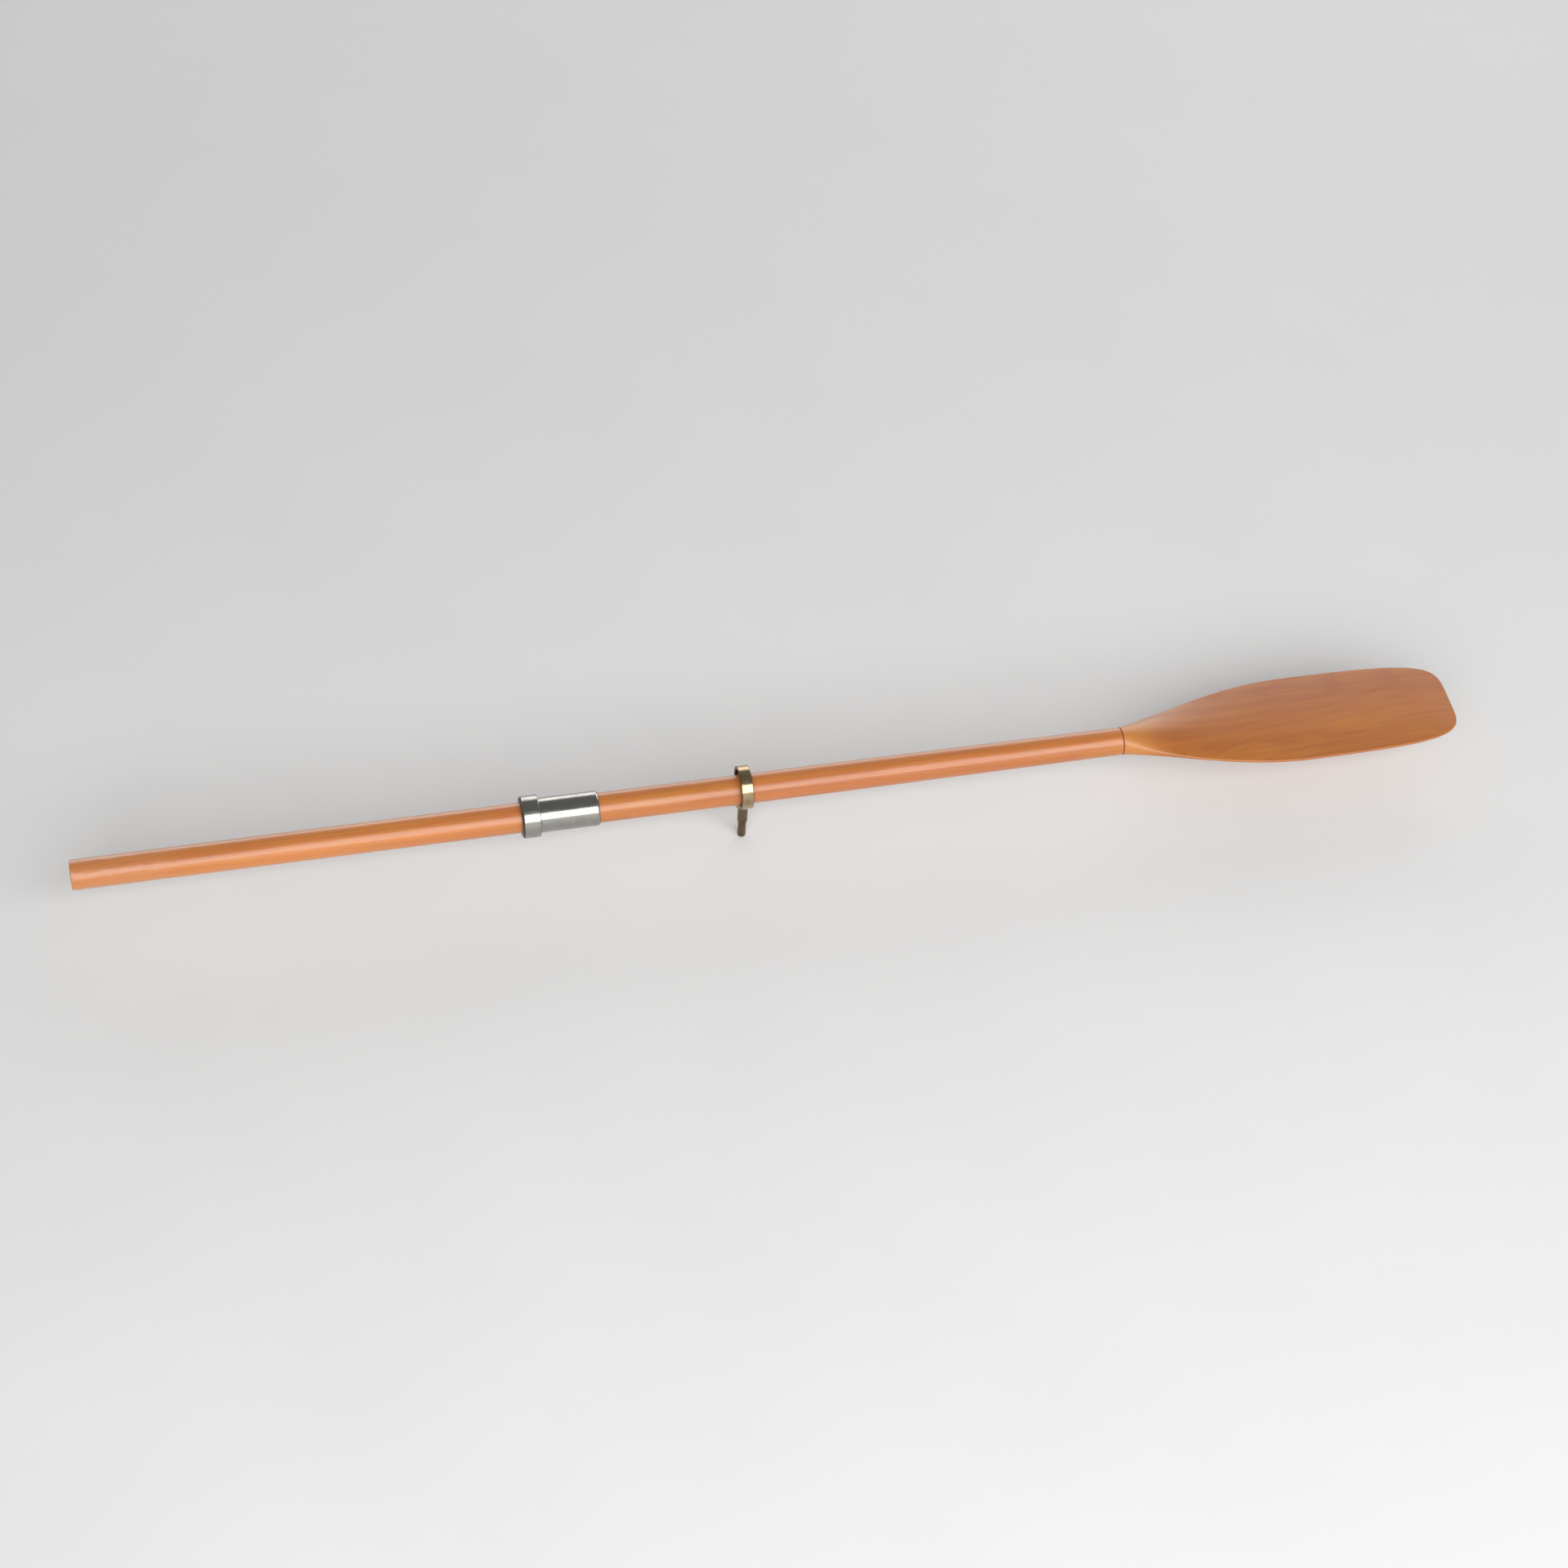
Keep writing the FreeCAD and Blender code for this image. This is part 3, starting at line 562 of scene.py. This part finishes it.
class Graph:
    """The nodes of one material."""

    def __init__(self, name):
        self.material = bpy.data.materials.new(name)
        self.material.use_nodes = True
        self.tree = self.material.node_tree
        self.tree.nodes.clear()

    def add(self, kind, inputs=None, **settings):
        """A node; each input is a value, or another node's output to link from."""
        node = self.tree.nodes.new("ShaderNode" + kind)
        for key, value in settings.items():
            setattr(node, key, value)
        for key, value in (inputs or {}).items():
            if isinstance(value, bpy.types.NodeSocket):
                self.tree.links.new(value, node.inputs[key])
            else:
                node.inputs[key].default_value = value
        return node

    def place(self):
        """The position in the model's own frame, in metres."""
        return self.add("TexCoord").outputs["Object"]

    def stretch(self, vector, scale):
        return self.combine("MULTIPLY", vector, scale)

    def length(self, vector):
        return self.add("VectorMath", {0: vector}, operation="LENGTH").outputs["Value"]

    def combine(self, operation, a, b):
        return self.add("VectorMath", {0: a, 1: b}, operation=operation).outputs[0]

    def noise(self, vector, detail=3.0, rough=0.55, out="Fac"):
        settings = {"Vector": vector, "Scale": 1.0, "Detail": detail, "Roughness": rough}
        return self.add("TexNoise", settings).outputs[out]

    def math(self, operation, a, b=0.0, c=0.0):
        return self.add("Math", {0: a, 1: b, 2: c}, operation=operation).outputs[0]

    def remap(self, value, from_low, from_high, to_low=0.0, to_high=1.0, smooth=False):
        ends = {"Value": value, "From Min": from_low, "From Max": from_high,
                "To Min": to_low, "To Max": to_high}
        kind = "SMOOTHSTEP" if smooth else "LINEAR"
        return self.add("MapRange", ends, interpolation_type=kind).outputs["Result"]

    def mix(self, factor, a, b):
        """Colour a at factor 0 and colour b at factor 1."""
        node = self.add("Mix", {0: factor}, data_type="RGBA", blend_type="MIX")
        for socket, value in ((node.inputs[6], a), (node.inputs[7], b)):
            if isinstance(value, bpy.types.NodeSocket):
                self.tree.links.new(value, socket)
            else:
                socket.default_value = value
        return node.outputs[2]

    def bump(self, height, distance, strength, normal=None):
        inputs = {"Height": height, "Distance": distance, "Strength": strength}
        if normal is not None:
            inputs["Normal"] = normal
        return self.add("Bump", inputs).outputs["Normal"]

    def finish(self, **inputs):
        shader = self.add("BsdfPrincipled", inputs)
        out = self.add("OutputMaterial")
        self.tree.links.new(shader.outputs[0], out.inputs["Surface"])
        return self.material


def srgb(r, g, b):
    """A display colour, 0 to 255, as linear."""
    def one(c):
        c /= 255
        return c / 12.92 if c <= 0.04045 else ((c + 0.055) / 1.055) ** 2.4
    return (one(r), one(g), one(b), 1.0)


PORE, OCHRE = srgb(96, 44, 18), srgb(186, 122, 46)
GOLD, WORN = srgb(216, 148, 74), srgb(188, 132, 92)


def growth_rings(g, place, pith, ring_gap):
    """Late wood, 0 to 1, in rings about a slightly wavy pith line. The pith is given by its
    two offsets across the piece and its two slopes along it."""
    sway = g.noise(g.stretch(place, (1.9, 9, 9)), 3.0, 0.5, "Color")
    sway = g.stretch(g.combine("SUBTRACT", sway, (0.5, 0.5, 0.5)), (0, 0.020, 0.020))
    bent = g.combine("ADD", g.place(), sway)
    split = g.add("SeparateXYZ", {0: g.combine("SUBTRACT", bent, (0, pith[0], pith[1]))})
    tilt_y = g.math("MULTIPLY_ADD", split.outputs[0], pith[2], split.outputs[1])
    tilt_z = g.math("MULTIPLY_ADD", split.outputs[0], pith[3], split.outputs[2])
    radius = g.length(g.add("CombineXYZ", {0: 0.0, 1: tilt_y, 2: tilt_z}).outputs[0])
    uneven = g.noise(g.stretch(place, (0.8, 30, 30)), 2.0)
    phase = g.math("FRACT", g.math("MULTIPLY_ADD", uneven, 1.6, g.math("DIVIDE", radius, ring_gap)))
    late = g.remap(phase, 0.35, 0.92, smooth=True)
    return g.math("MULTIPLY", late, g.remap(phase, 0.92, 1.0, 1.0, 0.0, smooth=True))


def wood(name, pith, light, dark, ring_gap, seed, figure, gloss=0.28, coated=1.0, golden=None, grip=None):
    """Varnished reddish wood: growth rings, fine fibres, short pores and a slow change of
    tone, under a clear slightly uneven coat. The four numbers in figure are the strengths
    of rings, streaks, fibres and pores. The wood is paler for a hand's width beyond the
    golden station, and worn and slightly dimpled for two hands' width beyond the grip one."""
    g = Graph(name)
    place = g.combine("ADD", g.place(), (seed, seed * 0.37, seed * 0.11))
    rings, streaks, fibres, pore_depth = figure
    ring = growth_rings(g, place, pith, ring_gap)
    fibre = g.noise(g.stretch(place, (5.5, 420, 420)), 4.0, 0.65)
    streak = g.noise(g.stretch(place, (1.6, 75, 75)), 3.0, 0.6)
    tone = g.noise(g.stretch(place, (2.2, 14, 14)), 2.0, 0.5)
    pores = g.remap(g.noise(g.stretch(place, (42, 1500, 1500)), 1.0, 0.4), 0.63, 0.72, smooth=True)
    shade = g.math("MULTIPLY_ADD", ring, rings, g.remap(streak, 0.3, 0.72, -streaks, streaks))
    shade = g.math("ADD", shade, g.remap(fibre, 0.28, 0.74, -fibres, fibres))
    shade = g.math("ADD", shade, g.remap(tone, 0.3, 0.7, 0.15, 0.65))
    colour = g.mix(g.add("Clamp", {0: shade}).outputs[0], light, dark)
    honey = g.noise(g.stretch(place, (7, 26, 26)), 2.0, 0.5)
    colour = g.mix(g.remap(honey, 0.54, 0.72, 0.0, 0.38, smooth=True), colour, OCHRE)
    along = g.add("SeparateXYZ", {0: g.place()}).outputs[0]
    if golden:
        near = g.remap(along, golden + 6 * MM, golden + 90 * MM, 0.55, 0.0, smooth=True)
        colour = g.mix(g.math("MULTIPLY", near, g.remap(streak, 0.3, 0.7, 0.6, 1.0)), colour, GOLD)
    colour = g.mix(g.math("MULTIPLY", pores, pore_depth), colour, PORE)
    wave = g.noise(g.stretch(place, (16, 55, 55)), 2.0, 0.5)
    dimple = g.noise(g.stretch(place, (90, 260, 260)), 2.0, 0.5)
    coat = g.bump(g.math("MULTIPLY_ADD", dimple, 0.10, wave), 0.35 * MM, 0.55)
    if grip:
        worn = g.remap(along, grip + GRIP_LENGTH / 2, grip + GRIP_LENGTH, 1.0, 0.0, smooth=True)
        colour = g.mix(g.math("MULTIPLY", worn, g.remap(tone, 0.3, 0.7, 0.12, 0.40)), colour, WORN)
        hand = g.noise(g.stretch(place, (66, 85, 85)), 1.0, 0.4)
        coat = g.bump(g.math("MULTIPLY", worn, hand), 1.9 * MM, 0.8, coat)
    grain = g.bump(g.math("SUBTRACT", fibre, pores), 0.12 * MM, 0.5)
    return g.finish(**{"Base Color": colour, "Roughness": g.remap(streak, 0.3, 0.7, 0.34, 0.48), "IOR": 1.45,
                       "Normal": grain, "Coat Weight": coated, "Coat Roughness": gloss, "Coat IOR": 1.5,
                       "Coat Normal": coat, "Specular IOR Level": 0.35})


def end_grain(name, pith, light, dark):
    """The sawn and oiled end of the handle: rings cut across, blotches and open pores."""
    g = Graph(name)
    place = g.place()
    radius = g.length(g.stretch(g.combine("SUBTRACT", place, (0, pith[0], pith[1])), (0, 1, 1)))
    wobble = g.noise(g.stretch(place, (60, 60, 60)), 2.0)
    phase = g.math("FRACT", g.math("MULTIPLY_ADD", wobble, 0.8, g.math("DIVIDE", radius, 2.4 * MM)))
    ring = g.math("MULTIPLY", g.remap(phase, 0.3, 0.9, smooth=True), g.remap(phase, 0.9, 1.0, 1.0, 0.0))
    pores = g.remap(g.noise(g.stretch(place, (900, 900, 900)), 2.0), 0.56, 0.64, smooth=True)
    blotch = g.noise(g.stretch(place, (110, 110, 110)), 4.0, 0.6)
    colour = g.mix(g.math("MULTIPLY_ADD", ring, 0.55, g.remap(blotch, 0.3, 0.7, 0.0, 0.4)), light, dark)
    colour = g.mix(g.math("MULTIPLY", pores, 0.6), colour, (0.03, 0.012, 0.005, 1))
    return g.finish(**{"Base Color": colour, "Roughness": g.remap(blotch, 0.3, 0.7, 0.42, 0.62),
                       "Coat Weight": 0.5, "Coat Roughness": 0.3,
                       "Normal": g.bump(g.math("SUBTRACT", ring, pores), 0.1 * MM, 0.6)})


def metal(name, bright, dull, rough, turned=(2600, 40, 40), grime=0.25, stain=(0.06, 0.045, 0.03, 1),
          ends=None, end_shade=(0.07, 0.06, 0.05, 1), above=-1):
    """Worn polished metal: fine lines from the lathe, smudges, hairline scratches and some tarnish. Outside
    the two stations in ends, and above a height, it is rougher and darker; the darker colour is painted
    shade, standing in for the shade that falls on end faces and sides."""
    g = Graph(name)
    place = g.place()
    lines = g.noise(g.stretch(place, turned), 2.0, 0.6)
    smudge = g.noise(g.stretch(place, (55, 55, 55)), 4.0, 0.62)
    fine = g.noise(g.stretch(place, (420, 420, 420)), 3.0, 0.6)
    scratch = g.remap(g.noise(g.stretch(place, (60, 1400, 500)), 1.0, 0.4), 0.66, 0.70, smooth=True)
    tone = g.math("MULTIPLY_ADD", lines, 0.25, g.remap(smudge, 0.32, 0.72, 0.0, 0.75))
    colour = g.mix(tone, bright, dull)
    dirty = g.remap(smudge, 0.45, 0.65, smooth=True)
    spots = g.math("MULTIPLY", g.remap(fine, 0.56, 0.70, smooth=True), dirty)
    colour = g.mix(g.math("MULTIPLY", spots, grime), colour, stain)
    roughness = g.math("MULTIPLY_ADD", scratch, 0.12, g.remap(smudge, 0.3, 0.72, rough[0], rough[1]))
    # Painted shade: outside the ends stations, and above the given height, the colour is pulled towards a
    # dark tone that stands in for shade on end faces and sides; the added roughness is the metal's own.
    if ends:
        split = g.add("SeparateXYZ", {0: place})
        along, level = split.outputs[0], split.outputs[2]
        painted_shade = g.math("ADD", g.remap(along, ends[0], ends[0] - 0.5 * MM, smooth=True),
                     g.remap(along, ends[1], ends[1] + 0.5 * MM, smooth=True))
        painted_shade = g.math("MULTIPLY", painted_shade, g.remap(smudge, 0.3, 0.7, 0.80, 1.0))
        painted_shade = g.math("MULTIPLY", painted_shade, g.remap(level, above, above + 2 * MM, smooth=True))
        colour = g.mix(painted_shade, colour, end_shade)
        roughness = g.math("MULTIPLY_ADD", painted_shade, 0.18, roughness)
    height = g.math("MULTIPLY_ADD", fine, 0.3, g.math("MULTIPLY", scratch, -0.8))
    height = g.math("MULTIPLY_ADD", lines, 0.5, height)
    return g.finish(**{"Base Color": colour, "Metallic": 1.0, "Roughness": roughness,
                       "Normal": g.bump(height, 0.02 * MM, 0.55)})


def glue():
    """The dark hardened glue in the neck seam."""
    g = Graph("glue_line")
    spots = g.noise(g.stretch(g.place(), (300, 240, 240)), 3.0)
    colour = g.mix(g.remap(spots, 0.35, 0.65), srgb(98, 46, 22), srgb(126, 62, 30))
    return g.finish(**{"Base Color": colour, "Roughness": g.remap(spots, 0.3, 0.7, 0.6, 0.8),
                       "Specular IOR Level": 0.2, "Normal": g.bump(spots, 0.1 * MM, 0.5)})


# ---------------------------------------------------------------- floor, light, camera

def make_floor():
    """A plain pale floor under the lowest point."""
    g = Graph("floor")
    spots = g.noise(g.stretch(g.place(), (3, 3, 3)), 4.0)
    paint = g.finish(**{"Base Color": g.mix(spots, (0.68, 0.68, 0.68, 1), (0.72, 0.72, 0.72, 1)),
                        "Roughness": g.remap(spots, 0.3, 0.7, 0.62, 0.72), "Specular IOR Level": 0.25})
    mesh, size = bpy.data.meshes.new("floor"), 14
    corners = ((-size, -size), (size, -size), (size, size), (-size, size))
    mesh.from_pydata([(x, y, FLOOR) for x, y in corners], [], [(0, 1, 2, 3)])
    floor = bpy.data.objects.new("floor", mesh)
    bpy.context.scene.collection.objects.link(floor)
    mesh.materials.append(paint)


def from_target(target, azimuth, elevation, distance):
    """A point seen from a target; azimuth 0 is towards -Y, 90 towards +X."""
    a, e = math.radians(azimuth), math.radians(elevation)
    direction = Vector((math.sin(a) * math.cos(e), -math.cos(a) * math.cos(e), math.sin(e)))
    return Vector(target) + distance * direction


def softbox(name, aim, azimuth, elevation, distance, width, height, radiance):
    """An area light that looks at a point, with a given brightness of its surface."""
    centre = from_target(aim, azimuth, elevation, distance)
    light = bpy.data.lights.new(name, "AREA")
    light.shape, light.size, light.size_y = "RECTANGLE", width, height
    light.energy = radiance * math.pi * width * height
    lamp = bpy.data.objects.new(name, light)
    lamp.location = centre
    lamp.rotation_euler = (Vector(aim) - centre).to_track_quat("-Z", "Y").to_euler()
    lamp.visible_camera = False
    bpy.context.scene.collection.objects.link(lamp)


def make_lights():
    """Three softboxes, and a world that is bright near the horizon and dimmer overhead."""
    middle, blade_middle = (0.1, 0, AXIS), (0.8, 0, AXIS)
    softbox("front", middle, 6, 38.5, 5.2, 7.6, 3.7, 4.1)
    softbox("rim", middle, 176, 15, 6.0, 10.0, 3.0, 1.7)
    softbox("back_right", blade_middle, 148, 34, 3.6, 1.8, 1.2, 1.5)
    world = bpy.data.worlds.new("studio")
    bpy.context.scene.world = world
    world.use_nodes = True
    tree = world.node_tree
    tree.nodes.clear()
    place = tree.nodes.new("ShaderNodeTexCoord")
    split = tree.nodes.new("ShaderNodeSeparateXYZ")
    ramp = tree.nodes.new("ShaderNodeMapRange")
    ramp.interpolation_type = "SMOOTHSTEP"
    for key, value in (("From Min", 0.10), ("From Max", 0.62), ("To Min", 1.0), ("To Max", 0.22)):
        ramp.inputs[key].default_value = value
    back = tree.nodes.new("ShaderNodeBackground")
    back.inputs["Color"].default_value = (1, 0.99, 0.975, 1)
    out = tree.nodes.new("ShaderNodeOutputWorld")
    tree.links.new(place.outputs["Generated"], split.inputs[0])
    tree.links.new(split.outputs["Z"], ramp.inputs["Value"])
    tree.links.new(ramp.outputs["Result"], back.inputs["Strength"])
    tree.links.new(back.outputs[0], out.inputs["Surface"])


def make_camera():
    """Looks down on the oar from the handle's side, aimed at its middle and slightly rolled."""
    spot = Vector((-0.7949, -3.2230, 3.9088))
    aim = Vector(((CAD_BOX[0].x + CAD_BOX[1].x) / 2, 0, AXIS))
    camera = bpy.data.cameras.new("camera")
    camera.sensor_width, camera.lens = 36, 77
    camera.clip_start, camera.clip_end = 0.05, 60
    lens = bpy.data.objects.new("camera", camera)
    bpy.context.scene.collection.objects.link(lens)
    turn = (aim - spot).to_track_quat("-Z", "Y").to_matrix() @ Matrix.Rotation(math.radians(4.06), 3, "Z")
    lens.matrix_world = Matrix.Translation(spot) @ turn.to_4x4()
    bpy.context.scene.camera = lens


# ---------------------------------------------------------------- assembly

make_camera()
make_lights()
make_floor()

loom_wood = wood("loom_wood", (0.05, -0.03, 0.010, 0.014), srgb(197, 122, 58), srgb(163, 88, 38),
                 2.6 * MM, 3.1, (0.16, 0.22, 0.14, 0.22), grip=HANDLE)
blade_wood = wood("blade_wood", (0.03, -0.16, -0.030, 0.045), srgb(176, 108, 50), srgb(150, 81, 35),
                  3.4 * MM, 8.6, (0.16, 0.26, 0.10, 0.14), coated=0.55, golden=NECK)
dowel_wood = wood("dowel_wood", (0.02, 0.01, 0.01, 0.01), srgb(196, 160, 112), srgb(160, 118, 74),
                  1.6 * MM, 5.0, (0.3, 0.2, 0.2, 0.2), gloss=0.5)
# Painted shade: the ends stations darken the collar's bevelled end face and the sleeve's outboard bevel.
steel = metal("steel", (0.41, 0.405, 0.38, 1), (0.31, 0.305, 0.28, 1), (0.15, 0.26),
              ends=(low["button_collar"].x + COLLAR_BEVEL, high["sleeve"].x - 0.8 * MM))
screw_steel = metal("screw_steel", (0.42, 0.41, 0.40, 1), (0.22, 0.215, 0.21, 1), (0.28, 0.42),
                    turned=(500, 500, 500), grime=0.6)
# Painted shade: the ends stations darken the ring's rounded edges and sides, but not the boss below the
# given height.
brass = metal("brass", (0.55, 0.43, 0.27, 1), (0.30, 0.21, 0.12, 1), (0.13, 0.25), turned=(1500, 60, 60),
              grime=0.5, stain=(0.10, 0.055, 0.02, 1), ends=(METAL_EDGE - RING_HALF, RING_HALF - METAL_EDGE),
              end_shade=(0.11, 0.07, 0.04, 1), above=BOSS_BOTTOM + SHADED_SIDES_ABOVE)
# Painted shade: the stem's colours are darker than its tarnished bronze, standing in for the shade under the
# ring.
shaded_stem_brass = metal("shaded_stem_brass", (0.20, 0.14, 0.085, 1), (0.10, 0.065, 0.04, 1), (0.22, 0.40),
                   turned=(60, 60, 1500), grime=0.7, stain=(0.05, 0.03, 0.015, 1))

loom = make_loom()
loom.data.materials.append(loom_wood)
loom.data.materials.append(end_grain("handle_end_grain", (0.05, -0.03), srgb(150, 88, 48), srgb(92, 46, 22)))
for face in loom.data.polygons:
    face.material_index = int(face.center.x < HANDLE + 0.1 * MM)
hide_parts("loom")

blade = make_blade()
blade.data.materials.append(blade_wood)
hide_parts("blade")

seam = make_glue_line()
seam.data.materials.append(glue())

sleeve, collar = make_sleeve(), make_collar()
for piece, node in ((sleeve, "sleeve"), (collar, "button_collar")):
    piece.data.materials.clear()
    piece.data.materials.append(steel)
    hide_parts(node)

casting, stem = make_casting(), make_stem()
for piece, node, finish in ((casting, "oarlock_ring", brass), (stem, "oarlock_shank", shaded_stem_brass)):
    piece.data.materials.clear()
    piece.data.materials.append(finish)
    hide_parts(node)

for node, finish in (("neck_dowel", dowel_wood), ("sleeve_screws", screw_steel),
                     ("button_set_screws", screw_steel)):
    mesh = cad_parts[node].data
    mesh.materials.clear()
    mesh.materials.append(finish)

bpy.context.scene.view_settings.view_transform = "Standard"
